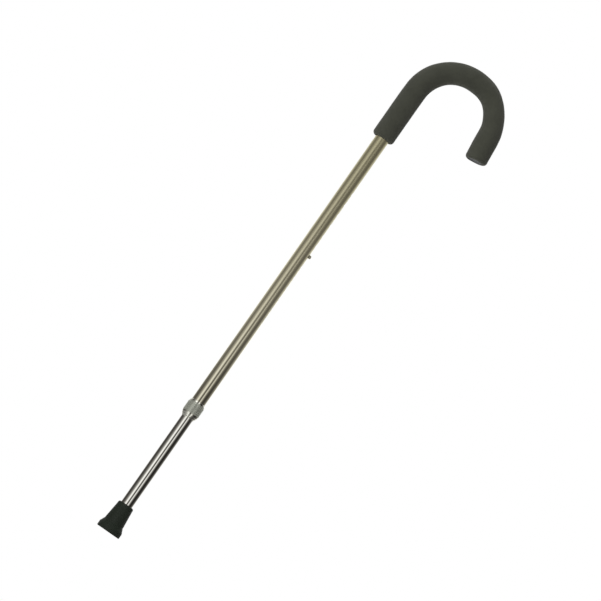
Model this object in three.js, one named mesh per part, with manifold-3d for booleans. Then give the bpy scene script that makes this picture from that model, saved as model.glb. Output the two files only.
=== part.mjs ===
// Single point cane: a height-adjustable walking stick with a padded crook handle.
// Millimetres, +Z up the shaft. The origin is the centre of the rubber tip's ground face.
// The crook lies in the XZ plane and opens towards +X, the side that the snap button is on.
import * as THREE from 'three';
import { mergeVertices } from 'three/addons/utils/BufferGeometryUtils.js';
import Module from 'manifold-3d';

const wasm = await Module();
wasm.setup();

// Whole cane
const CANE_HEIGHT = 889;
const RUNNING_GAP = 0.1;
const SEATED_GAP = 0.3;
const ROUND = 24;

// Upper tube: straight shaft, crook and tail are one bent tube
const SHAFT_OUTER_R = 11.1;
const SHAFT_INNER_R = 9.9;
const SHAFT_END_Z = 219.5;
const CROOK_R = 65;
const CROOK_TURN = THREE.MathUtils.degToRad(174);
const CROOK_STEPS = 20;
const TAIL_LENGTH = 42.5;
const TAIL_SHORTFALL = 3;

// Foam grip
const GRIP_OUTER_R = 18.1;
const GRIP_INNER_R = 11.35;
const GRIP_START_Z = 716;
const CROOK_CENTRE_Z = CANE_HEIGHT - GRIP_OUTER_R - CROOK_R;

// Height setting: a sprung button in the leg and a row of holes in the upper tube
const BUTTON_Z = 507.3;
const BUTTON_R = 3.25;
const BUTTON_REACH = 14.9;
const BUTTON_DOME = 2.4;
const FLANGE_R = 4.2;
const FLANGE_BACK = 5.9;
const FLANGE_THICKNESS = 1;
const HOLE_PITCH = 19.05;
const HOLES_EACH_WAY = 6;
const SHAFT_HOLE_R = 3.55;
const LEG_HOLE_R = 3.45;

// Leg tube and what closes its two ends
const LEG_OUTER_R = 9.525;
const LEG_INNER_R = 8.325;
const LEG_TOP_Z = BUTTON_Z + 25;
const TIP_FLOOR = 8;
const WASHER_THICKNESS = 1.6;
const LEG_BOTTOM_Z = TIP_FLOOR + WASHER_THICKNESS + 2 * RUNNING_GAP;

// Rubber tip
const TIP_HEIGHT = 48.6;
const TIP_BASE_R = 19.5;
const TIP_NECK_R = 15.6;
const TIP_TOP_R = 12.9;
const TIP_BORE_R = 9.65;
const TREAD_DEPTH = 1.2;

// Locking collar: a nut that squeezes a split ring onto the leg
const NUT_BOTTOM_Z = 205.2;
const NUT_TOP_Z = 234.6;
const NUT_OUTER_R = 13.6;
const NUT_LIP_R = 10.2;
const NUT_BORE_R = 11.4;
const NUT_WAIST_Z = 215.5;
const NUT_SHOULDER_Z = 228.2;
const NUT_OGIVE_R = 14.3;
const RING_INNER_R = 9.62;
const RING_BOTTOM_Z = 211.5;
const RING_TOP_Z = SHAFT_END_Z - SEATED_GAP;
const THREAD_PITCH = 2;
const THREAD_CENTRE_R = SHAFT_OUTER_R + 0.15;
const GROOVE_R = 0.7;
const RIDGE_R = 0.45;

// A closed mesh with shared corners merged and collapsed triangles dropped.
function welded(geometry) {
  geometry.deleteAttribute('normal');
  geometry.deleteAttribute('uv');
  const merged = mergeVertices(geometry, 1e-4);
  const index = merged.getIndex().array;
  const kept = [];
  for (let i = 0; i < index.length; i += 3) {
    const [a, b, c] = index.slice(i, i + 3);
    if (a !== b && b !== c && c !== a) kept.push(a, b, c);
  }
  merged.setIndex(kept);
  return merged;
}

function toSolid(geometry) {
  const closed = welded(geometry);
  const vertProperties = new Float32Array(closed.getAttribute('position').array);
  const triVerts = new Uint32Array(closed.getIndex().array);
  return new wasm.Manifold(new wasm.Mesh({ numProp: 3, vertProperties, triVerts }));
}

function toGeometry(solid) {
  const mesh = solid.getMesh();
  const geometry = new THREE.BufferGeometry();
  geometry.setAttribute('position', new THREE.BufferAttribute(mesh.vertProperties, 3));
  geometry.setIndex(new THREE.BufferAttribute(mesh.triVerts, 1));
  geometry.computeVertexNormals();
  return geometry;
}

// A body of revolution about +Z. The profile lists [radius, height] counter-clockwise:
// up the outside and down the inside. One that starts off the axis closes on itself.
function turned(profile) {
  const outline = profile.map(([radius, height]) => new THREE.Vector2(radius, height));
  if (outline[0].x > 0) outline.push(outline[0].clone());
  return new THREE.LatheGeometry(outline, ROUND).rotateX(Math.PI / 2);
}

function tube(outer, inner, bottom, top) {
  return turned([[outer, bottom], [outer, top], [inner, top], [inner, bottom]]);
}

// Points of an elliptical quarter or less, from one angle to another, in degrees.
function arc(centreR, centreZ, radiusR, radiusZ, from, to, steps) {
  const points = [];
  for (let i = 0; i <= steps; i += 1) {
    const angle = THREE.MathUtils.degToRad(from + ((to - from) * i) / steps);
    points.push([centreR + radiusR * Math.cos(angle), centreZ + radiusZ * Math.sin(angle)]);
  }
  return points;
}

// The cane's centreline as a list of stations, from a height on the shaft to a tail length.
class CrookLine extends THREE.Curve {
  constructor(startZ, tailLength) {
    super();
    this.stations = [{ x: 0, z: startZ, turn: 0 }];
    for (let i = 0; i <= CROOK_STEPS; i += 1) {
      const turn = (CROOK_TURN * i) / CROOK_STEPS;
      const x = CROOK_R * (1 - Math.cos(turn));
      const z = CROOK_CENTRE_Z + CROOK_R * Math.sin(turn);
      this.stations.push({ x, z, turn });
    }
    const last = this.stations.at(-1);
    this.stations.push({
      x: last.x + tailLength * Math.sin(CROOK_TURN),
      z: last.z + tailLength * Math.cos(CROOK_TURN),
      turn: CROOK_TURN,
    });
  }

  get steps() {
    return this.stations.length - 1;
  }

  stationAt(share) {
    return this.stations[Math.round(share * this.steps)];
  }

  getPointAt(share) {
    const { x, z } = this.stationAt(share);
    return new THREE.Vector3(x, 0, z);
  }

  getTangentAt(share) {
    const { turn } = this.stationAt(share);
    return new THREE.Vector3(Math.sin(turn), 0, Math.cos(turn));
  }
}

class Helix extends THREE.Curve {
  constructor(radius, pitch, bottom, top) {
    super();
    Object.assign(this, { radius, pitch, bottom, top });
  }

  getPoint(share) {
    const z = this.bottom + (this.top - this.bottom) * share;
    const angle = (2 * Math.PI * z) / this.pitch;
    return new THREE.Vector3(this.radius * Math.cos(angle), this.radius * Math.sin(angle), z);
  }
}

function sweptTube(line, outer, inner) {
  const section = new THREE.Shape().absarc(0, 0, outer, 0, 2 * Math.PI);
  section.holes.push(new THREE.Path().absarc(0, 0, inner, 0, 2 * Math.PI, true));
  const options = { extrudePath: line, steps: line.steps, curveSegments: ROUND / 2 };
  return new THREE.ExtrudeGeometry(section, options);
}

// A round-section right-hand thread form, for cutting a groove or adding a ridge.
function threadForm(radius, bottom, top) {
  const section = new THREE.Shape().absarc(0, 0, radius, 0, 2 * Math.PI);
  const turns = (top - bottom) / THREAD_PITCH;
  const options = {
    extrudePath: new Helix(THREAD_CENTRE_R, THREAD_PITCH, bottom, top),
    steps: Math.round(turns * 28),
    curveSegments: 3,
  };
  return toSolid(new THREE.ExtrudeGeometry(section, options));
}

// A round cutter along +X, for a hole in one wall of a tube.
function wallHole(radius, z) {
  const cutter = new THREE.CylinderGeometry(radius, radius, 2 * SHAFT_OUTER_R, 24);
  return toSolid(cutter.rotateZ(Math.PI / 2).translate(1.5 * SHAFT_OUTER_R, 0, z));
}

function shaftTube() {
  const line = new CrookLine(SHAFT_END_Z, TAIL_LENGTH - TAIL_SHORTFALL);
  let solid = toSolid(sweptTube(line, SHAFT_OUTER_R, SHAFT_INNER_R));
  for (let i = -HOLES_EACH_WAY; i <= HOLES_EACH_WAY; i += 1) {
    solid = solid.subtract(wallHole(SHAFT_HOLE_R, BUTTON_Z + i * HOLE_PITCH));
  }
  const groove = threadForm(GROOVE_R, SHAFT_END_Z - THREAD_PITCH, SHAFT_END_Z + 7 * THREAD_PITCH);
  return toGeometry(solid.subtract(groove));
}

function foamGrip() {
  return sweptTube(new CrookLine(GRIP_START_Z, TAIL_LENGTH), GRIP_OUTER_R, GRIP_INNER_R);
}

// Drawn with its head's outer face at height 0 and its hollow stem running up the tube.
function crookEndPlug() {
  const stemR = SHAFT_INNER_R - SEATED_GAP;
  const headR = GRIP_INNER_R - 0.45;
  const headThickness = TAIL_SHORTFALL - 2 * SEATED_GAP;
  const stemTop = 14;
  const wall = 1.8;
  return turned([
    [0, 0],
    [headR - 0.8, 0],
    [headR, 0.8],
    [headR, headThickness],
    [stemR, headThickness],
    [stemR, stemTop - 1],
    [stemR - 0.8, stemTop],
    [stemR - wall, stemTop],
    [stemR - wall, headThickness],
    [0, headThickness],
  ]);
}

function lockingNut() {
  const outside = [
    [NUT_LIP_R, NUT_BOTTOM_Z],
    ...arc(NUT_OUTER_R - NUT_OGIVE_R, NUT_WAIST_Z, NUT_OGIVE_R, NUT_OGIVE_R, -40, 0, 5),
    [NUT_OUTER_R, NUT_SHOULDER_Z],
    [NUT_OUTER_R - 0.3, NUT_SHOULDER_Z + 1],
    [NUT_BORE_R + 0.4, NUT_TOP_Z - 0.3],
    [NUT_BORE_R + 0.2, NUT_TOP_Z],
  ];
  const inside = [
    [NUT_BORE_R, NUT_TOP_Z],
    [NUT_BORE_R, RING_BOTTOM_Z + 5],
    [LEG_OUTER_R + 0.85, RING_BOTTOM_Z - SEATED_GAP],
    [LEG_OUTER_R + 0.2, RING_BOTTOM_Z - SEATED_GAP],
    [LEG_OUTER_R + 0.2, NUT_BOTTOM_Z],
  ];
  const body = toSolid(turned([...outside, ...inside]));
  const ridge = threadForm(RIDGE_R, SHAFT_END_Z + 1.5, SHAFT_END_Z + 1.5 + 4 * THREAD_PITCH);
  return toGeometry(body.add(ridge));
}

// A split nylon ring: a cone that the nut drives against the end of the upper tube.
function compressionRing() {
  const body = turned([
    [RING_INNER_R + 0.45, RING_BOTTOM_Z],
    [SHAFT_OUTER_R - 0.1, RING_BOTTOM_Z + 5],
    [SHAFT_OUTER_R - 0.1, RING_TOP_Z],
    [RING_INNER_R, RING_TOP_Z],
    [RING_INNER_R, RING_BOTTOM_Z],
  ]);
  const slot = new THREE.BoxGeometry(2 * LEG_OUTER_R, 1.5, 20);
  slot.translate(-LEG_OUTER_R - 2, 0, RING_BOTTOM_Z);
  return toGeometry(toSolid(body).subtract(toSolid(slot)));
}

function legTube() {
  const body = toSolid(tube(LEG_OUTER_R, LEG_INNER_R, LEG_BOTTOM_Z, LEG_TOP_Z));
  return toGeometry(body.subtract(wallHole(LEG_HOLE_R, BUTTON_Z)));
}

// A plastic guide that closes the leg's top end and runs inside the upper tube.
function legTopBush() {
  const plugR = LEG_INNER_R - RUNNING_GAP - 0.05;
  const guideR = SHAFT_INNER_R - 0.15;
  const boreR = 6.2;
  const seat = LEG_TOP_Z + RUNNING_GAP;
  const bottom = seat - 12;
  const top = seat + 4;
  return turned([
    [plugR - 0.8, bottom],
    [plugR, bottom + 1.5],
    [plugR, seat],
    [guideR, seat],
    [guideR, top - 1],
    [guideR - 1, top],
    [boreR, top],
    [boreR, bottom],
  ]);
}

// Drawn along +Z from the shaft's axis, then laid along +X through both walls.
function snapButton() {
  const shoulder = FLANGE_BACK + FLANGE_THICKNESS;
  const profile = [
    [0, FLANGE_BACK],
    [FLANGE_R, FLANGE_BACK],
    [FLANGE_R, shoulder],
    [BUTTON_R, shoulder],
    ...arc(0, BUTTON_REACH - BUTTON_DOME, BUTTON_R, BUTTON_DOME, 0, 90, 6),
  ];
  profile.at(-1)[0] = 0;
  return turned(profile).rotateY(Math.PI / 2).translate(0, 0, BUTTON_Z);
}

// A folded leaf spring: one leaf presses the button out, the other bears on the far wall.
function buttonSpring() {
  const half = 0.3;
  const padX = FLANGE_BACK - SEATED_GAP - half;
  const backX = -LEG_INNER_R + 1.3;
  const foldZ = BUTTON_Z - 42;
  const foldX = -3;
  const foldR = 2;
  const outer = new THREE.Shape();
  outer.moveTo(padX + half, BUTTON_Z + 6);
  outer.lineTo(padX - half, BUTTON_Z + 6);
  outer.lineTo(padX - half, BUTTON_Z - 6);
  outer.lineTo(foldX + foldR - half, foldZ);
  outer.absarc(foldX, foldZ, foldR - half, 0, -Math.PI, true);
  outer.lineTo(backX + half, BUTTON_Z + 4);
  outer.lineTo(backX - half, BUTTON_Z + 4);
  outer.lineTo(foldX - foldR - half, foldZ);
  outer.absarc(foldX, foldZ, foldR + half, -Math.PI, 0, false);
  outer.lineTo(padX + half, BUTTON_Z - 6);
  const width = 6.4;
  const leaf = new THREE.ExtrudeGeometry(outer, { depth: width, bevelEnabled: false, curveSegments: 8 });
  return leaf.rotateX(Math.PI / 2).translate(0, width / 2, 0);
}

function tipWasher() {
  const bottom = TIP_FLOOR + RUNNING_GAP;
  return tube(LEG_OUTER_R - 0.1, 2.5, bottom, bottom + WASHER_THICKNESS);
}

// The ground face is a plain centre disc inside concentric tread rings.
function rubberTip() {
  const tread = [[0, 0]];
  for (const innerR of [6, 9.4, 12.8]) {
    tread.push([innerR, 0], [innerR + 0.4, TREAD_DEPTH]);
    tread.push([innerR + 1.4, TREAD_DEPTH], [innerR + 1.8, 0]);
  }
  const flange = [
    [TIP_BASE_R - 0.8, 0],
    [TIP_BASE_R - 0.1, 0.8],
    [TIP_BASE_R, 5.5],
    ...arc(TIP_BASE_R - 3.2, 6.5, 3.1, 4.4, 10, 50, 3),
    [TIP_NECK_R + 0.7, 14.2],
    [TIP_NECK_R, 17.6],
  ];
  const top = arc(TIP_TOP_R - 2.4, TIP_HEIGHT - 2.6, 2.4, 2.6, 8, 90, 4);
  const bore = [
    [TIP_BORE_R + 0.5, TIP_HEIGHT],
    [TIP_BORE_R, TIP_HEIGHT - 1],
    [TIP_BORE_R, TIP_FLOOR],
    [0, TIP_FLOOR],
  ];
  return turned([...tread, ...flange, ...top, ...bore]);
}

function named(name, geometry, color, roughness, metalness) {
  const material = new THREE.MeshStandardMaterial({ color, roughness, metalness });
  const mesh = new THREE.Mesh(geometry, material);
  mesh.name = name;
  return mesh;
}

// The plug's group stands at the tail's end, turned so that its stem points back up the tail.
function plugAtTailEnd(plug) {
  const end = new CrookLine(SHAFT_END_Z, TAIL_LENGTH - SEATED_GAP).stations.at(-1);
  const holder = new THREE.Group();
  holder.position.set(end.x, 0, end.z);
  holder.rotation.y = end.turn + Math.PI;
  holder.add(plug);
  return holder;
}

const cane = new THREE.Group();
cane.add(named('shaft_tube', shaftTube(), 0xb8b49c, 0.28, 1));
cane.add(named('foam_grip', foamGrip(), 0x3f3f3a, 0.95, 0));
cane.add(plugAtTailEnd(named('crook_end_plug', crookEndPlug(), 0x3a3c40, 0.6, 0)));
cane.add(named('compression_ring', compressionRing(), 0xe4e0d2, 0.5, 0));
cane.add(named('locking_nut', lockingNut(), 0x9a9c8e, 0.35, 1));
cane.add(named('leg_tube', legTube(), 0xd9d9d0, 0.12, 1));
cane.add(named('leg_top_bush', legTopBush(), 0x2a2a2a, 0.5, 0));
cane.add(named('snap_button', snapButton(), 0xb0a67c, 0.25, 1));
cane.add(named('button_spring', buttonSpring(), 0xb4b8bc, 0.3, 1));
cane.add(named('tip_washer', tipWasher(), 0xa8a8a6, 0.4, 1));
cane.add(named('rubber_tip', rubberTip(), 0x26292a, 0.75, 0));

export default cane;
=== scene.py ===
"""Looks for a height-adjustable single point cane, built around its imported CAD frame.

Metres, +Z up the shaft, +X towards the crook's opening, ground at z = 0.
"""
import math

import bmesh
import bpy
from mathutils import Matrix, Vector, noise


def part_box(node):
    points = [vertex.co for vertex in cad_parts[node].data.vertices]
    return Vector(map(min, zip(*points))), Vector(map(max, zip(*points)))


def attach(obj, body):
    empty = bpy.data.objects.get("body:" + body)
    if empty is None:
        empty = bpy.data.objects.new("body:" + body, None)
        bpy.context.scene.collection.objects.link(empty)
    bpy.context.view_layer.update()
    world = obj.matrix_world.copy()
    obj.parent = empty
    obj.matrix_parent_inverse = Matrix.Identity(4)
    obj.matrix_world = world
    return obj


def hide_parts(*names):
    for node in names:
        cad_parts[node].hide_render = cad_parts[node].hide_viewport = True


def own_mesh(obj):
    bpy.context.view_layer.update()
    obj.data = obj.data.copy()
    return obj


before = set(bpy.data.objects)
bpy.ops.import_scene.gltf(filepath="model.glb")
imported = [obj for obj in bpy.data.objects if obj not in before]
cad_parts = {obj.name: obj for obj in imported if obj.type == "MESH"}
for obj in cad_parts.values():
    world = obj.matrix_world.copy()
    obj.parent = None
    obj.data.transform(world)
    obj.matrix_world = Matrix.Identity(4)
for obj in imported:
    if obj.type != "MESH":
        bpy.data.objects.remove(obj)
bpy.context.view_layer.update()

MM = 0.001
TAU = 2 * math.pi
WELD = 2e-6

# Sizes read from the frame
SHAFT_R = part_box("shaft_tube")[1].y
SHAFT_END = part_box("shaft_tube")[0].z
GRIP_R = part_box("foam_grip")[1].y
GRIP_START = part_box("foam_grip")[0].z
GRIP_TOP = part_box("foam_grip")[1].z
LEG_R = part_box("leg_tube")[1].y
LEG_BOTTOM, LEG_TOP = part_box("leg_tube")[0].z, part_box("leg_tube")[1].z
NUT_BOTTOM, NUT_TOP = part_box("locking_nut")[0].z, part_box("locking_nut")[1].z
NUT_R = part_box("locking_nut")[1].y
TIP_TOP, TIP_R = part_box("rubber_tip")[1].z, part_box("rubber_tip")[1].y
BUTTON_BACK, BUTTON_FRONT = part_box("snap_button")[0].x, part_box("snap_button")[1].x
BUTTON_Z = (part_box("snap_button")[0].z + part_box("snap_button")[1].z) / 2
SPRING_BACK, SPRING_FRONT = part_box("button_spring")[0].x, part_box("button_spring")[1].x
SPRING_FOOT, SPRING_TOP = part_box("button_spring")[0].z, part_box("button_spring")[1].z

# The design's own dimensions
WALL = 1.2 * MM
END_BEVEL = 0.2 * MM
CROOK_R = 65 * MM
CROOK_TURN = math.radians(174)
CROOK_CENTRE_Z = round(GRIP_TOP, 3) - GRIP_R - CROOK_R
TAIL = 42.5 * MM
TAIL_SHORTFALL = 3 * MM
HOLE_PITCH = 19.05 * MM
HOLES_EACH_WAY = 6
SHAFT_HOLE_R = 3.55 * MM
LEG_HOLE_R = 3.45 * MM
BUTTON_R = 3.25 * MM
THREAD_PITCH = 2 * MM
THREAD_LENGTH = 14 * MM
THREAD_CENTRE_R = 11.25 * MM
GROOVE_R = 0.7 * MM
RIDGE_R = 0.45 * MM
CROOK_END = CROOK_CENTRE_Z + CROOK_R * CROOK_TURN
GRIP_END = CROOK_END + TAIL


# ---------------------------------------------------------------- geometry

def centreline(s):
    """Point, inward normal and tangent of the cane's line at s, which is z on the shaft."""
    turn = min(max((s - CROOK_CENTRE_Z) / CROOK_R, 0), CROOK_TURN)
    tangent = Vector((math.sin(turn), 0, math.cos(turn)))
    normal = Vector((math.cos(turn), 0, -math.sin(turn)))
    point = Vector((CROOK_R * (1 - math.cos(turn)), 0, CROOK_CENTRE_Z + CROOK_R * math.sin(turn)))
    beyond = s - CROOK_CENTRE_Z - CROOK_R * turn
    return point + tangent * beyond, normal, tangent


def place(angle, radius, s):
    """A point at radius from the cane's line; angle 0 is on the side of the crook's opening."""
    point, normal, _ = centreline(s)
    return point + normal * (radius * math.cos(angle)) + Vector((0, radius * math.sin(angle), 0))


def spaced(start, stop, count):
    """count + 1 evenly spaced values, both ends included."""
    return [start + (stop - start) * i / count for i in range(count + 1)]


def on_line(start, stop, shares):
    """Points on the line from start to stop, at the given shares of its length."""
    (a, b), (c, d) = start, stop
    return [(a + (c - a) * t, b + (d - b) * t) for t in shares]


def arc(centre_a, centre_b, radius_a, radius_b, start, stop, count):
    """Points of an elliptical arc; angles in degrees."""
    angles = [math.radians(d) for d in spaced(start, stop, count)]
    return [(centre_a + radius_a * math.cos(t), centre_b + radius_b * math.sin(t)) for t in angles]


class Surface:
    """Faces gathered as rings of points, then welded into one closed mesh."""

    def __init__(self):
        self.bm = bmesh.new()

    def grid(self, rings, closed=False, flip=False):
        """Quads between each ring and the next."""
        rows = [[self.bm.verts.new(p) for p in ring] for ring in rings]
        for low, high in zip(rows, rows[1:]):
            count = len(low) if closed else len(low) - 1
            for i in range(count):
                j = (i + 1) % len(low)
                quad = [low[i], low[j], high[j], high[i]]
                self.bm.faces.new(reversed(quad) if flip else quad)

    def cap(self, ring):
        """One flat face that fills a ring."""
        self.bm.faces.new([self.bm.verts.new(p) for p in ring])

    def finish(self, name, sharp=40):
        """Welds the surface, faces it outwards and puts it in the scene."""
        bmesh.ops.remove_doubles(self.bm, verts=self.bm.verts, dist=WELD)
        bmesh.ops.dissolve_degenerate(self.bm, edges=self.bm.edges, dist=WELD / 20)
        bmesh.ops.recalc_face_normals(self.bm, faces=self.bm.faces)
        if self.bm.calc_volume(signed=True) < 0:
            bmesh.ops.reverse_faces(self.bm, faces=self.bm.faces)
        mesh = bpy.data.meshes.new(name)
        self.bm.to_mesh(mesh)
        self.bm.free()
        mesh.shade_smooth()
        mesh.set_sharp_from_angle(angle=math.radians(sharp))
        piece = bpy.data.objects.new(name, mesh)
        bpy.context.scene.collection.objects.link(piece)
        return piece


def revolved(name, profile, columns=96, shape=None, matrix=None, sharp=40):
    """A closed body of revolution about Z from (radius, height) points in order.

    shape(radius, height, angle) may change the radius. A profile off the axis closes on itself.
    """
    loop = list(profile)
    if loop[0][0] > 0:
        loop.append(loop[0])
    angles = [TAU * i / columns for i in range(columns)]
    rings = []
    for radius, height in loop:
        ring = []
        for a in angles:
            r = shape(radius, height, a) if shape else radius
            ring.append(Vector((r * math.cos(a), r * math.sin(a), height)))
        rings.append(ring)
    surface = Surface()
    surface.grid(rings, closed=True)
    piece = surface.finish(name, sharp)
    if matrix is not None:
        piece.data.transform(matrix)
    return piece


def hole_ring(z, hole_r, wall_r, directions):
    """Where a round hole bored along X, of radius hole_r, meets a cylinder of radius wall_r."""
    ring = []
    for d in directions:
        y = hole_r * math.cos(d)
        ring.append(Vector((math.sqrt(wall_r * wall_r - y * y), y, z + hole_r * math.sin(d))))
    return ring


def on_wall(angle, z, wall_r):
    return Vector((wall_r * math.cos(angle), wall_r * math.sin(angle), z))


def hole_cell(surface, z, half_height, half_angle, side, hole_r, outer, inner):
    """One drilled patch of a tube's wall: both skins from a rectangle to the hole, and its edge."""
    steps = spaced(-1, 1, side)
    outline = [(a, -1) for a in steps[:-1]] + [(1, b) for b in steps[:-1]]
    outline += [(-a, 1) for a in steps[:-1]] + [(-1, -b) for b in steps[:-1]]
    border = [(a * half_angle, z + b * half_height) for a, b in outline]
    directions = [math.atan2(h - z, a * outer) for a, h in border]
    rims = []
    for wall_r, lip, flip in ((outer, 0.3 * MM, True), (inner, 0.1 * MM, False)):
        rim = hole_ring(z, hole_r + lip, wall_r, directions)
        rims.append(rim)
        rings = []
        for share in (0, 0.06, 0.22, 0.5, 1):
            ring = []
            for point, (a, h) in zip(rim, border):
                start = math.atan2(point.y, point.x)
                angle = start + (a - start) * share
                ring.append(on_wall(angle, point.z + (h - point.z) * share, wall_r))
            rings.append(ring)
        surface.grid(rings, closed=True, flip=flip)
    edge = [rims[0]]
    for lip, depth in ((0.16, 0.05), (0.06, 0.13), (0, 0.26)):
        edge.append(hole_ring(z, hole_r + lip * MM, outer - depth * MM, directions))
    edge += [hole_ring(z, hole_r, inner + 0.12 * MM, directions), rims[1]]
    surface.grid(edge, closed=True)


def drilled_tube(name, outer, inner, rows, holes, hole_r, half_height, thread=None):
    """A tube along the cane's line, with holes on its +X side.

    rows are the stations between the hole cells and the ends; thread(angle, s) is a depth.
    """
    side, rest_columns, half_angle = 10, 76, 0.6
    surface = Surface()
    sector = spaced(-half_angle, half_angle, side)
    rest = spaced(half_angle, TAU - half_angle, rest_columns)
    cell_rows = []
    for z in holes:
        cell_rows.append(spaced(z - half_height, z + half_height, side))
    stations = sorted(set(round(s, 7) for s in rows + [s for cell in cell_rows for s in cell]))
    cuts = [(round(c[0], 7), round(c[-1], 7)) for c in cell_rows]

    def skin(radius, flip):
        def point(a, s):
            depth = thread(a, s) if thread and not flip else 0
            return place(a, radius - depth, s)

        surface.grid([[point(a, s) for a in rest] for s in stations], flip=flip)
        for low, high in zip(stations, stations[1:]):
            middle = (low + high) / 2
            if not any(a < middle < b for a, b in cuts):
                surface.grid([[point(a, s) for a in sector] for s in (low, high)], flip=flip)

    skin(outer, False)
    skin(inner, True)
    for z in holes:
        hole_cell(surface, z, half_height, half_angle, side, hole_r, outer, inner)
    around = rest[:-1] + sector[:-1]
    for end, back in ((stations[0], False), (stations[-1], True)):
        depth = thread if thread and not back else (lambda a, s: 0)
        outward = END_BEVEL if back else -END_BEVEL
        rings = [
            [place(a, outer - depth(a, end), end) for a in around],
            [place(a, outer - END_BEVEL - depth(a, end), end + outward) for a in around],
            [place(a, inner + END_BEVEL, end + outward) for a in around],
            [place(a, inner, end) for a in around],
        ]
        surface.grid(rings, closed=True, flip=not back)
    return surface.finish(name, 50)


def thread_rise(angle, z, section_r, centre_r, wall_r):
    """How far a round thread form on a helix reaches past a wall, inwards from centre_r."""
    phase = (z / THREAD_PITCH - angle / TAU) % 1
    off = min(phase, 1 - phase) * THREAD_PITCH
    if off >= section_r:
        return 0
    return max(0, wall_r - centre_r + math.sqrt(section_r ** 2 - off ** 2))


def shaft_thread(angle, s):
    """The rolled thread groove at the upper tube's lower end, running out at its top."""
    above = s - SHAFT_END
    if above > THREAD_LENGTH:
        return 0
    run_out = min(1, (THREAD_LENGTH - above) / THREAD_PITCH)
    return run_out * thread_rise(angle, s, GROOVE_R, THREAD_CENTRE_R, SHAFT_R)


# ---------------------------------------------------------------- materials

class Nodes:
    """A short way to write a node tree."""

    def __init__(self, name):
        self.material = bpy.data.materials.new(name)
        self.material.use_nodes = True
        self.tree = self.material.node_tree
        self.shader = self.tree.nodes["Principled BSDF"]

    def add(self, kind, **settings):
        node = self.tree.nodes.new(kind)
        for key, value in settings.items():
            setattr(node, key, value)
        return node

    def link(self, source, target):
        self.tree.links.new(source, target)

    def set(self, **values):
        for key, value in values.items():
            self.shader.inputs[key.replace("_", " ")].default_value = value

    def coordinates(self, scale):
        mapping = self.add("ShaderNodeMapping")
        mapping.inputs["Scale"].default_value = scale
        self.link(self.add("ShaderNodeTexCoord").outputs["Object"], mapping.inputs["Vector"])
        return mapping.outputs["Vector"]

    def noise(self, scale, detail=4, roughness=0.5, stretch=(1, 1, 1)):
        node = self.add("ShaderNodeTexNoise")
        node.inputs["Scale"].default_value = scale
        node.inputs["Detail"].default_value = detail
        node.inputs["Roughness"].default_value = roughness
        self.link(self.coordinates(stretch), node.inputs["Vector"])
        return node.outputs["Fac"]

    def cells(self, scale):
        node = self.add("ShaderNodeTexVoronoi", feature="F1")
        node.inputs["Scale"].default_value = scale
        self.link(self.coordinates((1, 1, 1)), node.inputs["Vector"])
        return node.outputs["Distance"]

    def ramp(self, source, stops):
        node = self.add("ShaderNodeValToRGB")
        elements = node.color_ramp.elements
        for element, (position, color) in zip(elements, (stops[0], stops[-1])):
            element.position, element.color = position, (*color, 1)
        for position, color in stops[1:-1]:
            elements.new(position).color = (*color, 1)
        self.link(source, node.inputs["Fac"])
        return node.outputs["Color"]

    def range(self, source, low, high, out_low, out_high):
        node = self.add("ShaderNodeMapRange")
        ends = (("From Min", low), ("From Max", high), ("To Min", out_low), ("To Max", out_high))
        for key, value in ends:
            node.inputs[key].default_value = value
        self.link(source, node.inputs["Value"])
        return node.outputs["Result"]

    def math(self, operation, a, b):
        node = self.add("ShaderNodeMath", operation=operation)
        for socket, value in zip(node.inputs, (a, b)):
            if isinstance(value, (int, float)):
                socket.default_value = value
            else:
                self.link(value, socket)
        return node.outputs["Value"]

    def bump(self, height, strength, distance):
        node = self.add("ShaderNodeBump")
        node.inputs["Strength"].default_value = strength
        node.inputs["Distance"].default_value = distance
        self.link(height, node.inputs["Height"])
        self.link(node.outputs["Normal"], self.shader.inputs["Normal"])

    def color(self, output):
        self.link(output, self.shader.inputs["Base Color"])

    def rough(self, output):
        self.link(output, self.shader.inputs["Roughness"])


def shade(color, factor):
    return tuple(c * factor for c in color)


def drawn_metal(name, low_color, high_color, low_rough, high_rough, grain, streak=0.05):
    """Drawn tube: fine lines along its length, faint cloudiness, and rougher towards the grip, where
    its colour is darkened as painted shade.

    The low values hold at the foot of the upper tube and the high ones at its grip.
    """
    n = Nodes(name)
    n.set(Metallic=1.0)
    lines = n.noise(900, 3, 0.6, (1, 1, 0.012))
    cloud = n.noise(38, 4, 0.55)
    mixed = n.math("ADD", n.math("MULTIPLY", lines, 0.65), n.math("MULTIPLY", cloud, 0.35))
    height = n.add("ShaderNodeSeparateXYZ")
    n.link(n.coordinates((1, 1, 1)), height.inputs["Vector"])
    # A blend from the tube's foot to its grip: it darkens the colour there as painted shade, and
    # raises the roughness
    shade_and_rough_to_grip = n.range(height.outputs["Z"], SHAFT_END, GRIP_START, 0, 1)
    tones = []
    for color in (low_color, high_color):
        tones.append(n.ramp(mixed, [(0.3, shade(color, 1 - streak)), (0.7, shade(color, 1 + streak))]))
    blend = n.add("ShaderNodeMix", data_type="RGBA")
    n.link(shade_and_rough_to_grip, blend.inputs["Factor"])
    for socket, tone in zip((blend.inputs["A"], blend.inputs["B"]), tones):
        n.link(tone, socket)
    n.color(blend.outputs["Result"])
    rough = n.range(shade_and_rough_to_grip, 0, 1, low_rough, high_rough)
    n.rough(n.math("MULTIPLY", rough, n.range(mixed, 0.3, 0.7, 0.8, 1.2)))
    n.bump(lines, grain, 0.02 * MM)
    return n.material


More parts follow.
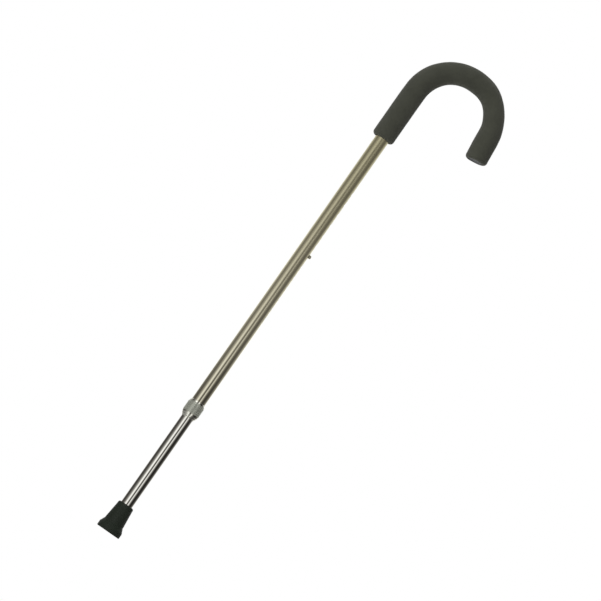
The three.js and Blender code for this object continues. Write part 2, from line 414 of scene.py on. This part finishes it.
def turned_metal(name, color, rough, streak=0.08, metallic=1.0):
    """Turned metal: faint rings round the collar and a little cloudiness."""
    n = Nodes(name)
    n.set(Metallic=metallic)
    turning = n.noise(700, 3, 0.6, (0.02, 0.02, 1))
    cloud = n.noise(160, 4, 0.6)
    mixed = n.math("ADD", n.math("MULTIPLY", turning, 0.5), n.math("MULTIPLY", cloud, 0.5))
    n.color(n.ramp(mixed, [(0.3, shade(color, 1 - streak)), (0.7, shade(color, 1 + streak))]))
    n.rough(n.range(mixed, 0.3, 0.7, rough * 0.7, rough * 1.4))
    n.bump(mixed, 0.1, 0.02 * MM)
    return n.material


def foam_material(name, color):
    """Closed-cell foam: a matt skin of tiny cells with open pores and slow tone changes, and painted
    shade darkening the pores.
    """
    n = Nodes(name)
    n.set(Sheen_Weight=0.15, Sheen_Roughness=0.6, Specular_IOR_Level=0.25)
    cells = n.cells(1500)
    pores = n.range(n.noise(2600, 2, 0.7), 0.56, 0.72, 0, 1)
    tone = n.noise(26, 5, 0.6)
    # Random tone, darkened where the pores are: painted shade in the recesses
    tone_and_pore_shade = n.math("SUBTRACT", n.math("MULTIPLY", tone, 1.0), n.math("MULTIPLY", pores, 0.25))
    n.color(n.ramp(tone_and_pore_shade, [(0.2, shade(color, 0.72)), (0.5, color), (0.8, shade(color, 1.2))]))
    n.rough(n.range(tone, 0.3, 0.7, 0.86, 0.97))
    height = n.math("SUBTRACT", n.math("MULTIPLY", cells, 0.7), n.math("MULTIPLY", pores, 0.8))
    n.bump(height, 0.55, 0.12 * MM)
    return n.material


def rubber_material(name, color):
    """Moulded rubber: near black, dulled by handling, with a fine spark-eroded grain."""
    n = Nodes(name)
    n.set(Specular_IOR_Level=0.4)
    grain = n.noise(1500, 3, 0.6)
    bloom = n.noise(55, 6, 0.65)
    n.color(n.ramp(bloom, [(0.3, shade(color, 0.8)), (0.62, color), (0.85, shade(color, 1.7))]))
    n.rough(n.range(bloom, 0.3, 0.75, 0.52, 0.78))
    n.bump(grain, 0.35, 0.06 * MM)
    return n.material


def plastic_material(name, color, rough=0.45, gloss=0.5):
    """Moulded plastic with a fine grain."""
    n = Nodes(name)
    n.set(Specular_IOR_Level=gloss)
    grain = n.noise(1100, 3, 0.6)
    cloud = n.noise(70, 4, 0.6)
    n.color(n.ramp(cloud, [(0.3, shade(color, 0.88)), (0.7, shade(color, 1.12))]))
    n.rough(n.range(cloud, 0.3, 0.7, rough - 0.06, rough + 0.1))
    n.bump(grain, 0.2, 0.04 * MM)
    return n.material


def steel_material(name, color, rough=0.3):
    """Plain or plated metal with a fine grain along Z."""
    n = Nodes(name)
    n.set(Metallic=1.0)
    grain = n.noise(600, 4, 0.6, (1, 1, 0.05))
    n.color(n.ramp(grain, [(0.3, shade(color, 0.9)), (0.7, shade(color, 1.08))]))
    n.rough(n.range(grain, 0.3, 0.7, rough - 0.07, rough + 0.1))
    n.bump(grain, 0.1, 0.02 * MM)
    return n.material


# The second tone, used towards the grip, is darker: painted shade for the dimmer surroundings the tube
# reflects there
CHAMPAGNE, GRIP_SHADED_CHAMPAGNE = (0.72, 0.69, 0.56), (0.62, 0.585, 0.39)
POLISHED = (0.91, 0.905, 0.855)
SATIN = drawn_metal("satin_champagne_tube", CHAMPAGNE, GRIP_SHADED_CHAMPAGNE, 0.11, 0.25, 0.1)
BRIGHT = drawn_metal("bright_polished_tube", POLISHED, POLISHED, 0.05, 0.05, 0.04)
COLLAR = turned_metal("collar_polished_skin", (0.82, 0.82, 0.75), 0.06)
BAND = turned_metal("collar_knurled_skin", (0.455, 0.475, 0.415), 0.11, metallic=0.4)
BUTTON = steel_material("button_nickel", (0.80, 0.77, 0.64), 0.13)
FOAM = foam_material("grip_foam_skin", (0.069, 0.0725, 0.0560))
RUBBER = rubber_material("tip_rubber_skin", (0.0152, 0.0235, 0.0150))
DARK_PLASTIC = plastic_material("dark_plastic_skin", (0.040, 0.042, 0.048), 0.55, gloss=0.2)
NYLON = plastic_material("nylon_skin", (0.78, 0.76, 0.68), 0.4)
SPRING = steel_material("spring_steel_skin", (0.60, 0.62, 0.64), 0.28)
ZINC = steel_material("washer_zinc_skin", (0.56, 0.56, 0.55), 0.4)


def dress(piece, material, body, node):
    """Gives a piece its material and the body it moves with, and hides the CAD node it stands for."""
    piece.data.materials.append(material)
    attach(piece, body)
    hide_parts(node)
    return piece


# ---------------------------------------------------------------- pieces

def make_shaft():
    """The upper tube with its thread, its row of holes and the crook inside the grip."""
    holes = [BUTTON_Z + i * HOLE_PITCH for i in range(-HOLES_EACH_WAY, HOLES_EACH_WAY + 1)]
    rows = spaced(SHAFT_END + END_BEVEL, SHAFT_END + THREAD_LENGTH + 0.5 * MM, 90)
    rows += [GRIP_START, CROOK_CENTRE_Z]
    rows += spaced(CROOK_CENTRE_Z, CROOK_END, 64)
    rows += [GRIP_END - TAIL_SHORTFALL - END_BEVEL]
    tube = drilled_tube("upper_tube", SHAFT_R, SHAFT_R - WALL, rows, holes, SHAFT_HOLE_R,
                        HOLE_PITCH / 2, thread=shaft_thread)
    return dress(tube, SATIN, "upper", "shaft_tube")


def make_leg():
    """The lower tube, with the one hole that its button looks out of."""
    rows = [LEG_BOTTOM + END_BEVEL, TIP_TOP, NUT_BOTTOM, LEG_TOP - END_BEVEL]
    tube = drilled_tube("lower_tube", LEG_R, LEG_R - WALL, rows, [BUTTON_Z], LEG_HOLE_R, 8 * MM)
    return dress(tube, BRIGHT, "leg", "leg_tube")


def smooth(value, low, high):
    """0 below low, 1 above high, and a smooth step between."""
    share = min(max((value - low) / (high - low), 0), 1)
    return share * share * (3 - 2 * share)


def bump_at(value, centre, width):
    """1 at centre, falling to nothing over about twice the width."""
    return math.exp(-((value - centre) / width) ** 2)


def grip_skin(s):
    """Radius of the foam at s, and how far its section is pushed towards the bend's outside.

    The sleeve is full on its straights. It is stretched thinner round the bend, most of all
    just past the top, where it has also crept outwards, and it sits a little off centre below.
    """
    bend = math.degrees((s - CROOK_CENTRE_Z) / CROOK_R)
    bent = smooth(bend, 20, 62) - smooth(bend, 155, 190)
    radius = GRIP_R - 0.72 * MM * bent - 1.05 * MM * bump_at(bend, 133, 24)
    radius -= 0.35 * MM * bump_at(bend, 158, 9) + 0.45 * MM * smooth(bend, 176, 205)
    push = 0.5 * MM * (1 - smooth(bend, -15, 12)) + 0.3 * MM * bump_at(bend, 75, 26)
    return radius, push + 2 * MM * bump_at(bend, 118, 21)


def make_grip():
    """A foam sleeve with rolled ends, gently uneven as soft foam on a bend is."""
    corner, bore, lip = 5.4 * MM, SHAFT_R + 0.12 * MM, 0.8 * MM
    columns, row_length = 112, 1.6 * MM
    skin_depth, square_cut, cut_length = 3 * MM, 1.1 * MM, 14 * MM
    start = GRIP_START + 1.3 * MM
    start_r, end_r = grip_skin(start)[0], grip_skin(GRIP_END)[0]
    loop = [(s, rho) for rho, s in arc(start_r - corner, start + corner, corner, corner, -90, 0, 9)]
    body = spaced(start + corner, GRIP_END - corner, int((GRIP_END - start) / row_length))[1:-1]
    loop += [(s, grip_skin(s)[0]) for s in body]
    loop += [(s, rho) for rho, s in arc(end_r - corner, GRIP_END - corner, corner, corner, 0, 90, 9)]
    loop += [(s, rho) for rho, s in arc(bore + lip, GRIP_END - lip, lip, lip, 90, 180, 4)]
    loop += [(s, bore) for s in spaced(GRIP_END - lip, start + lip, 90)[1:-1]]
    loop += [(s, rho) for rho, s in arc(bore + lip, start + lip, lip, lip, 180, 270, 4)]
    loop.append(loop[0])
    rings = []
    for s, rho in loop:
        depth = min(1, max(0, (rho - bore) / skin_depth))
        _, normal, tangent = centreline(s)
        shift = normal * (-grip_skin(s)[1] * depth)
        skew = tangent * (square_cut * depth * smooth(s, GRIP_END - cut_length, GRIP_END))
        ring = []
        for i in range(columns):
            angle = TAU * i / columns
            point = place(angle, rho, s)
            dent = noise.fractal(point * 60, 1.0, 2.0, 3) * 0.16 * MM
            dent += noise.noise(point * 420) * 0.03 * MM
            point = place(angle, rho + (dent - 0.1 * MM) * depth, s)
            ring.append(point + shift + skew * max(0, math.cos(angle)))
        rings.append(ring)
    surface = Surface()
    surface.grid(rings, closed=True)
    grip = surface.finish("foam_sleeve", 60)
    dress(grip, FOAM, "upper", "foam_grip")
    return grip


def make_plug():
    """The dished plastic plug that closes the tube at the end of the crook."""
    head_r, stem_r = SHAFT_R - 0.2 * MM, SHAFT_R - WALL - 0.3 * MM
    head, stem, wall = 2.4 * MM, 14 * MM, 1.8 * MM
    profile = [(0, 0.7 * MM), (head_r * 0.35, 0.62 * MM), (head_r * 0.62, 0.3 * MM)]
    profile += [(head_r - 1.6 * MM, 0.02 * MM), (head_r - 1.1 * MM, 0)]
    profile += arc(head_r - 0.8 * MM, 0.8 * MM, 0.8 * MM, 0.8 * MM, -90, 0, 6)
    profile += [(head_r, head - 0.2 * MM), (head_r - 0.2 * MM, head), (stem_r, head)]
    profile += [(stem_r, stem - 1 * MM), (stem_r - 0.8 * MM, stem), (stem_r - wall, stem)]
    profile += [(stem_r - wall, head), (0, head)]
    point, normal, tangent = centreline(GRIP_END - 0.3 * MM)
    back = -tangent
    side = back.cross(normal)
    turn = Matrix((normal, side, back)).transposed().to_4x4()
    plug = revolved("tube_plug", profile, 72, matrix=Matrix.Translation(point) @ turn)
    return dress(plug, DARK_PLASTIC, "upper", "crook_end_plug")


def make_nut():
    """A knurled band between a polished neck above and a polished, grooved ogive below."""
    band_low, band_high = NUT_BOTTOM + 8.6 * MM, NUT_TOP - 3.2 * MM
    shoulder = NUT_TOP - 6.4 * MM
    waist, ogive_r = NUT_BOTTOM + 10.3 * MM, 14.3 * MM
    lip_line = NUT_BOTTOM + 4.3 * MM
    bore, lip_r = SHAFT_R + 0.3 * MM, LEG_R + 0.65 * MM
    teeth_around, teeth_along, steps, tooth_depth, groove_share = 70, 10, 7, 0.06 * MM, 0.3
    tooth_length = (band_high - band_low) / teeth_along
    ridge_low, ridge_high = SHAFT_END + 1.5 * MM, SHAFT_END + 9.5 * MM

    def skin(height):
        """Radius of the smooth collar, which the knurl is cut into."""
        if height < waist:
            below = waist - height
            ogive = NUT_R - ogive_r + math.sqrt(ogive_r ** 2 - below ** 2)
            return ogive - 0.3 * MM * bump_at(height, lip_line, 0.5 * MM)
        rise = max(0, height - shoulder)
        taper = 0.345 * rise - 0.1 * MM
        return NUT_R - (taper if rise > 0.6 * MM else 0.3 * rise ** 2 / MM)

    def groove(turns):
        return max(0, 1 - abs(turns % 1 - 0.5) / groove_share)

    outside = [(lip_r - 0.15 * MM, NUT_BOTTOM), (lip_r, NUT_BOTTOM + 0.15 * MM)]
    outside += [(skin(h), h) for h in spaced(NUT_BOTTOM + 1.1 * MM, band_low - 0.3 * MM, 34)]
    outside.append((skin(band_low) - 0.25 * MM, band_low - 0.12 * MM))
    outside += [(skin(h), h) for h in spaced(band_low, band_high, teeth_along * steps)]
    outside.append((skin(band_high) - 0.25 * MM, band_high + 0.12 * MM))
    outside += [(skin(h), h) for h in spaced(band_high + 0.3 * MM, NUT_TOP - 0.35 * MM, 6)]
    outside += [(bore + 0.28 * MM, NUT_TOP - 0.1 * MM), (bore + 0.15 * MM, NUT_TOP)]
    inside = [(bore + 0.02 * MM, NUT_TOP - 0.1 * MM)]
    inside += [(bore, h) for h in spaced(ridge_high + 1 * MM, ridge_low - 1 * MM, 50)]
    inside += [(bore, NUT_BOTTOM + 11.3 * MM)]
    inside += [(LEG_R + 0.85 * MM, NUT_BOTTOM + 6 * MM), (LEG_R + 0.2 * MM, NUT_BOTTOM + 6 * MM)]
    inside += [(LEG_R + 0.2 * MM, NUT_BOTTOM + 0.1 * MM)]

    def cut(radius, height, angle):
        """The knurl's crossed grooves outside, and the thread's ridge in the bore."""
        if band_low <= height <= band_high and radius > skin(height) - 0.01 * MM:
            around, along = teeth_around * angle / TAU, (height - band_low) / tooth_length
            return radius - tooth_depth * max(groove(around + along), groove(around - along))
        if radius > bore + 0.01 * MM or not ridge_low - MM < height < ridge_high + MM:
            return radius
        run_out = min(1, (height - ridge_low) / MM + 1, (ridge_high - height) / MM + 1)
        return radius - run_out * thread_rise(angle, height, RIDGE_R, THREAD_CENTRE_R, bore)

    nut = revolved("locking_collar", outside + inside, teeth_around * steps, cut, sharp=50)
    dress(nut, COLLAR, "collar_nut", "locking_nut")
    nut.data.materials.append(BAND)
    for face in nut.data.polygons:
        depth = skin(face.center.z) - math.hypot(face.center.x, face.center.y)
        if band_low < face.center.z < band_high and depth < 0.5 * MM:
            face.material_index = 1
    return nut


def make_button():
    """A domed pin on a flange that is wider than the leg's hole."""
    flange_r, bevel, dome = 4.2 * MM, 0.2 * MM, 2.4 * MM
    flange_front = BUTTON_BACK + 1 * MM
    profile = [(0, BUTTON_BACK), (flange_r - bevel, BUTTON_BACK), (flange_r, BUTTON_BACK + bevel)]
    profile += [(flange_r, flange_front - bevel), (flange_r - bevel, flange_front)]
    profile += [(BUTTON_R, flange_front)]
    profile += arc(0, BUTTON_FRONT - dome, BUTTON_R, dome, 0, 90, 18)
    profile[-1] = (0, BUTTON_FRONT)
    lay = Matrix.Translation((0, 0, BUTTON_Z)) @ Matrix.Rotation(math.pi / 2, 4, "Y")
    button = revolved("push_button", profile, 64, matrix=lay)
    return dress(button, BUTTON, "button", "snap_button")


def make_spring():
    """A folded strip of spring steel.

    The front leaf presses the button out, and the back one bears on the far wall.
    """
    half, half_width, edge = 0.29 * MM, 3.2 * MM, 0.15 * MM
    fold_x, fold_r = -3 * MM, 2 * MM
    fold_z = SPRING_FOOT + fold_r + half
    pad_x, pad_top, pad_foot = SPRING_FRONT - half, SPRING_TOP - 1.5 * MM, SPRING_TOP - 10 * MM
    back_x, back_top = SPRING_BACK + half, SPRING_TOP - 2 * MM
    path = [(pad_x - 0.5 * MM, SPRING_TOP - half), (pad_x - 0.15 * MM, SPRING_TOP - 0.5 * MM)]
    path += [(pad_x, z) for z in spaced(pad_top, pad_foot, 6)]
    path += [(pad_x - 0.12 * MM, pad_foot - 1.5 * MM)]
    path += on_line((pad_x, pad_foot - 2.5 * MM), (fold_x + fold_r, fold_z), spaced(0.03, 1, 12))
    path += arc(fold_x, fold_z, fold_r, fold_r, 0, -180, 14)[1:]
    path += on_line((fold_x - fold_r, fold_z), (back_x, back_top), spaced(0, 1, 12)[1:])
    section = []
    for side_x, side_y, start in ((1, 1, 0), (-1, 1, 90), (-1, -1, 180), (1, -1, 270)):
        centre_x, centre_y = side_x * (half - edge), side_y * (half_width - edge)
        section += arc(centre_x, centre_y, edge, edge, start, start + 90, 3)
    rings = []
    for i, (x, z) in enumerate(path):
        before, after = path[max(i - 1, 0)], path[min(i + 1, len(path) - 1)]
        along = Vector((after[0] - before[0], 0, after[1] - before[1])).normalized()
        across = Vector((-along.z, 0, along.x))
        rings.append([Vector((x, b, z)) + across * a for a, b in section])
    surface = Surface()
    surface.grid(rings, closed=True)
    surface.cap(rings[0])
    surface.cap(rings[-1])
    spring = surface.finish("leaf_spring", 30)
    dress(spring, SPRING, "leg", "button_spring")
    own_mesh(spring)
    return spring


def make_tip():
    """The flared rubber tip, with tread rings below and a faint mould line up each side."""
    bore, floor = LEG_R + 0.1 * MM, 8 * MM
    neck_r, top_r, neck_z, shoulder_z = 15.6 * MM, 12.9 * MM, 18 * MM, TIP_TOP - 4.5 * MM
    tread = 1.2 * MM
    profile = [(0, 0)]
    for ring in (6, 9.4, 12.8):
        start = ring * MM
        profile += [(start - 0.15 * MM, 0), (start + 0.1 * MM, 0.2 * MM), (start + 0.4 * MM, tread)]
        profile += [(start + 1.4 * MM, tread), (start + 1.7 * MM, 0.2 * MM), (start + 1.95 * MM, 0)]
    profile += arc(TIP_R - 1.1 * MM, 1 * MM, 1 * MM, 1 * MM, -90, -4, 6)
    profile += [(TIP_R, 4.2 * MM), (TIP_R - 0.02 * MM, 6 * MM)]
    profile += arc(TIP_R - 3.4 * MM, 7 * MM, 3.35 * MM, 4.3 * MM, 8, 52, 8)
    profile += arc(neck_r + 2.6 * MM, 17.2 * MM, 2.6 * MM, 3.9 * MM, 236, 184, 8)
    profile += on_line((neck_r, neck_z), (top_r, shoulder_z), spaced(0, 1, 8))
    profile += arc(top_r - 3 * MM, TIP_TOP - 3 * MM, 3 * MM, 3 * MM, 12, 88, 9)
    profile += [(bore + 0.6 * MM, TIP_TOP), (bore + 0.15 * MM, TIP_TOP - 0.25 * MM)]
    profile += [(bore, TIP_TOP - 1 * MM), (bore, floor), (0, floor)]

    def mould_line(radius, height, angle):
        if radius < bore + 2 * MM:
            return radius
        across = math.sin(angle) * radius
        return radius + 0.09 * MM * smooth(height, 8 * MM, 12 * MM) * bump_at(across, 0, 0.28 * MM)

    tip = revolved("ground_tip", profile, 256, mould_line)
    return dress(tip, RUBBER, "leg", "rubber_tip")


make_shaft()
make_leg()
make_grip()
make_plug()
make_nut()
make_button()
make_spring()
make_tip()

# Pieces hidden inside, which stay as the CAD's own solids
inner_pieces = (("compression_ring", NYLON), ("leg_top_bush", DARK_PLASTIC), ("tip_washer", ZINC))
for node, material in inner_pieces:
    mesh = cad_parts[node].data
    mesh.materials.clear()
    mesh.materials.append(material)


# ---------------------------------------------------------------- studio

def make_camera():
    """A long lens near the ground, tilted up and rolled so that the cane leans to the right."""
    distance, sideways, height = 4.239, 0.0382, -0.002
    pitch, roll = math.radians(6.035), math.radians(34.90)
    forward = Vector((0, math.cos(pitch), math.sin(pitch)))
    up = Vector((0, -math.sin(pitch), math.cos(pitch)))
    right = Vector((1, 0, 0))
    image_right = right * math.cos(roll) + up * math.sin(roll)
    image_up = up * math.cos(roll) - right * math.sin(roll)
    data = bpy.data.cameras.new("camera")
    data.lens, data.sensor_width = 170.7, 36
    data.clip_end = 50
    camera = bpy.data.objects.new("camera", data)
    turn = Matrix((image_right, image_up, -forward)).transposed().to_4x4()
    camera.matrix_world = Matrix.Translation((sideways, -distance, height)) @ turn
    bpy.context.scene.collection.objects.link(camera)
    bpy.context.scene.camera = camera


# Brightness of the studio walls by compass direction, in degrees from -Y towards +X: a white
# backdrop behind, a broad soft strip light on the left of the camera, a weaker one on the
# right, and dark between. The second list is a little higher up, where both lights are dimmer.
WALLS_LOW = [(-180, 1.15), (-158, 1.0), (-145, 0.26), (-124, 0.07), (-94, 0.045), (-70, 0.11),
             (-49, 0.34), (-35, 0.88), (-26, 1.10), (-17, 0.84), (-10, 0.30), (-2, 0.05), (8, 0.06),
             (16, 0.60), (24, 1.00), (34, 0.38), (46, 0.09), (60, 0.018), (78, 0.014), (97, 0.045),
             (112, 0.09), (134, 0.25), (150, 0.95), (180, 1.15)]
WALLS_HIGH = [(-180, 1.15), (-150, 0.95), (-128, 0.68), (-108, 0.46), (-86, 0.21), (-66, 0.30),
              (-48, 0.40), (-30, 0.52), (-16, 0.50), (-4, 0.28), (6, 0.22), (18, 0.27), (31, 0.22),
              (48, 0.20), (66, 0.18), (86, 0.22), (108, 0.52), (128, 0.68), (150, 0.95), (180, 1.15)]
CEILING = 0.30


def make_world():
    """The studio as metal reflects it; the camera itself sees plain white."""
    world = bpy.data.worlds.new("studio")
    bpy.context.scene.world = world
    world.use_nodes = True
    tree = world.node_tree
    tree.nodes.clear()

    def add(kind, **settings):
        node = tree.nodes.new(kind)
        for key, value in settings.items():
            setattr(node, key, value)
        return node

    def feed(socket, value):
        if isinstance(value, bpy.types.NodeSocket):
            tree.links.new(value, socket)
        else:
            socket.default_value = value

    def calc(operation, a, b=0.0):
        node = add("ShaderNodeMath", operation=operation)
        feed(node.inputs[0], a)
        feed(node.inputs[1], b)
        return node.outputs["Value"]

    def between(value, low, high, out_low=0.0, out_high=1.0):
        node = add("ShaderNodeMapRange", interpolation_type="SMOOTHSTEP")
        ends = (("From Min", low), ("From Max", high), ("To Min", out_low), ("To Max", out_high))
        feed(node.inputs["Value"], value)
        for key, end in ends:
            feed(node.inputs[key], end)
        return node.outputs["Result"]

    def mix(factor, a, b):
        node = add("ShaderNodeMix", data_type="RGBA")
        feed(node.inputs["Factor"], factor)
        feed(node.inputs["A"], a)
        feed(node.inputs["B"], b)
        return node.outputs["Result"]

    def scaled(color, factor):
        node = add("ShaderNodeVectorMath", operation="SCALE")
        feed(node.inputs["Vector"], color)
        feed(node.inputs["Scale"], factor)
        return node.outputs["Vector"]

    def walls(stops):
        ramp = add("ShaderNodeValToRGB")
        elements = ramp.color_ramp.elements
        for i, (degrees, level) in enumerate(stops):
            place_at = (degrees + 180) / 360
            element = elements[i] if i < 2 else elements.new(place_at)
            element.position = place_at
            warm = 0.06 * max(0, 1 - level)
            element.color = (level * (1 + warm), level, level * (0.985 - warm), 1)
        feed(ramp.inputs["Fac"], compass)
        return ramp.outputs["Color"]

    xyz = add("ShaderNodeSeparateXYZ")
    feed(xyz.inputs["Vector"], add("ShaderNodeTexCoord").outputs["Generated"])
    toward_camera = calc("MULTIPLY", xyz.outputs["Y"], -1.0)
    azimuth = calc("ARCTAN2", xyz.outputs["X"], toward_camera)
    compass = calc("ADD", calc("DIVIDE", azimuth, TAU), 0.5)
    elevation = calc("ARCSINE", xyz.outputs["Z"])
    slope = calc("ABSOLUTE", elevation)
    deg = math.radians(1)

    # The second list takes over a little above the horizon, and gives way again further up
    higher = between(elevation, 2.2 * deg, 7.8 * deg)
    steep = between(slope, 16 * deg, 34 * deg)
    share = calc("MULTIPLY", higher, calc("SUBTRACT", 1.0, steep))
    # Both are brighter in a narrow belt just above the horizon
    rising, falling = between(elevation, 2.6 * deg, 5.2 * deg), between(elevation, 9 * deg, 6.4 * deg)
    gain = calc("ADD", calc("MULTIPLY", calc("MULTIPLY", rising, falling), 0.4), 1.0)
    room = scaled(mix(share, walls(WALLS_LOW), walls(WALLS_HIGH)), gain)
    # Below the horizon the pale floor shows, more of it on the left
    low_down = between(elevation, -4 * deg, -26 * deg, 0.0, 0.36)
    to_the_left = between(xyz.outputs["X"], 0.05, -0.5, 0.15, 1.0)
    floor_glow = (0.5, 0.5, 0.49, 1)
    room = mix(calc("MULTIPLY", low_down, to_the_left), room, floor_glow)
    # Brighter away from the horizon, up to a dimmer ceiling and floor
    lit = scaled(room, between(slope, 14 * deg, 36 * deg, 1.0, 1.35))
    ends = (CEILING, CEILING, CEILING * 0.94, 1)
    surround = mix(between(slope, 52 * deg, 76 * deg), lit, ends)
    backdrop = (1, 1, 1, 1)
    seen = mix(add("ShaderNodeLightPath").outputs["Is Camera Ray"], surround, backdrop)
    background = add("ShaderNodeBackground")
    feed(background.inputs["Color"], seen)
    feed(add("ShaderNodeOutputWorld").inputs["Surface"], background.outputs["Background"])


def make_floor():
    """A pale round floor, clear from below, that fades into the backdrop.

    It rides with the leg, so that the tip stands on it at every height.
    """
    under_tip = (0, 0, -0.4 * MM)
    bpy.ops.mesh.primitive_circle_add(vertices=96, radius=1.6, fill_type="NGON", location=under_tip)
    floor = bpy.context.object
    floor.name = "studio_floor"
    floor.visible_glossy = False
    n = Nodes("pale_floor")
    n.set(Roughness=0.9, Specular_IOR_Level=0.1, Emission_Strength=0.13)
    n.shader.inputs["Base Color"].default_value = (0.93, 0.93, 0.925, 1)
    reach = n.add("ShaderNodeVectorMath", operation="LENGTH")
    n.link(n.coordinates((1, 1, 1)), reach.inputs[0])
    solid_to, gone_by = 0.7, 1.55
    fade = n.range(reach.outputs["Value"], solid_to, gone_by, 0, 1)
    below = n.add("ShaderNodeNewGeometry").outputs["Backfacing"]
    clear = n.math("MAXIMUM", fade, below)
    mix = n.add("ShaderNodeMixShader")
    n.link(clear, mix.inputs["Fac"])
    n.link(n.shader.outputs["BSDF"], mix.inputs[1])
    n.link(n.add("ShaderNodeBsdfTransparent").outputs["BSDF"], mix.inputs[2])
    n.link(mix.outputs["Shader"], n.tree.nodes["Material Output"].inputs["Surface"])
    floor.data.materials.append(n.material)
    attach(floor, "leg")


def make_light(name, location, target, size, power):
    """A soft round lamp that metal doesn't reflect."""
    data = bpy.data.lights.new(name, "AREA")
    data.shape, data.size, data.energy = "DISK", size, power
    light = bpy.data.objects.new(name, data)
    light.visible_glossy = False
    light.location = location
    aim = Vector(target) - Vector(location)
    light.rotation_euler = aim.to_track_quat("-Z", "Y").to_euler()
    bpy.context.scene.collection.objects.link(light)


make_camera()
make_world()
make_floor()
make_light("key_softbox", (-1.4, -1.5, 2.4), (0, 0, 0.4), 3.0, 24)
make_light("top_softbox", (0.3, 0.4, 2.8), (0, 0, 0.4), 2.2, 3)
bpy.context.scene.view_settings.view_transform = "Standard"
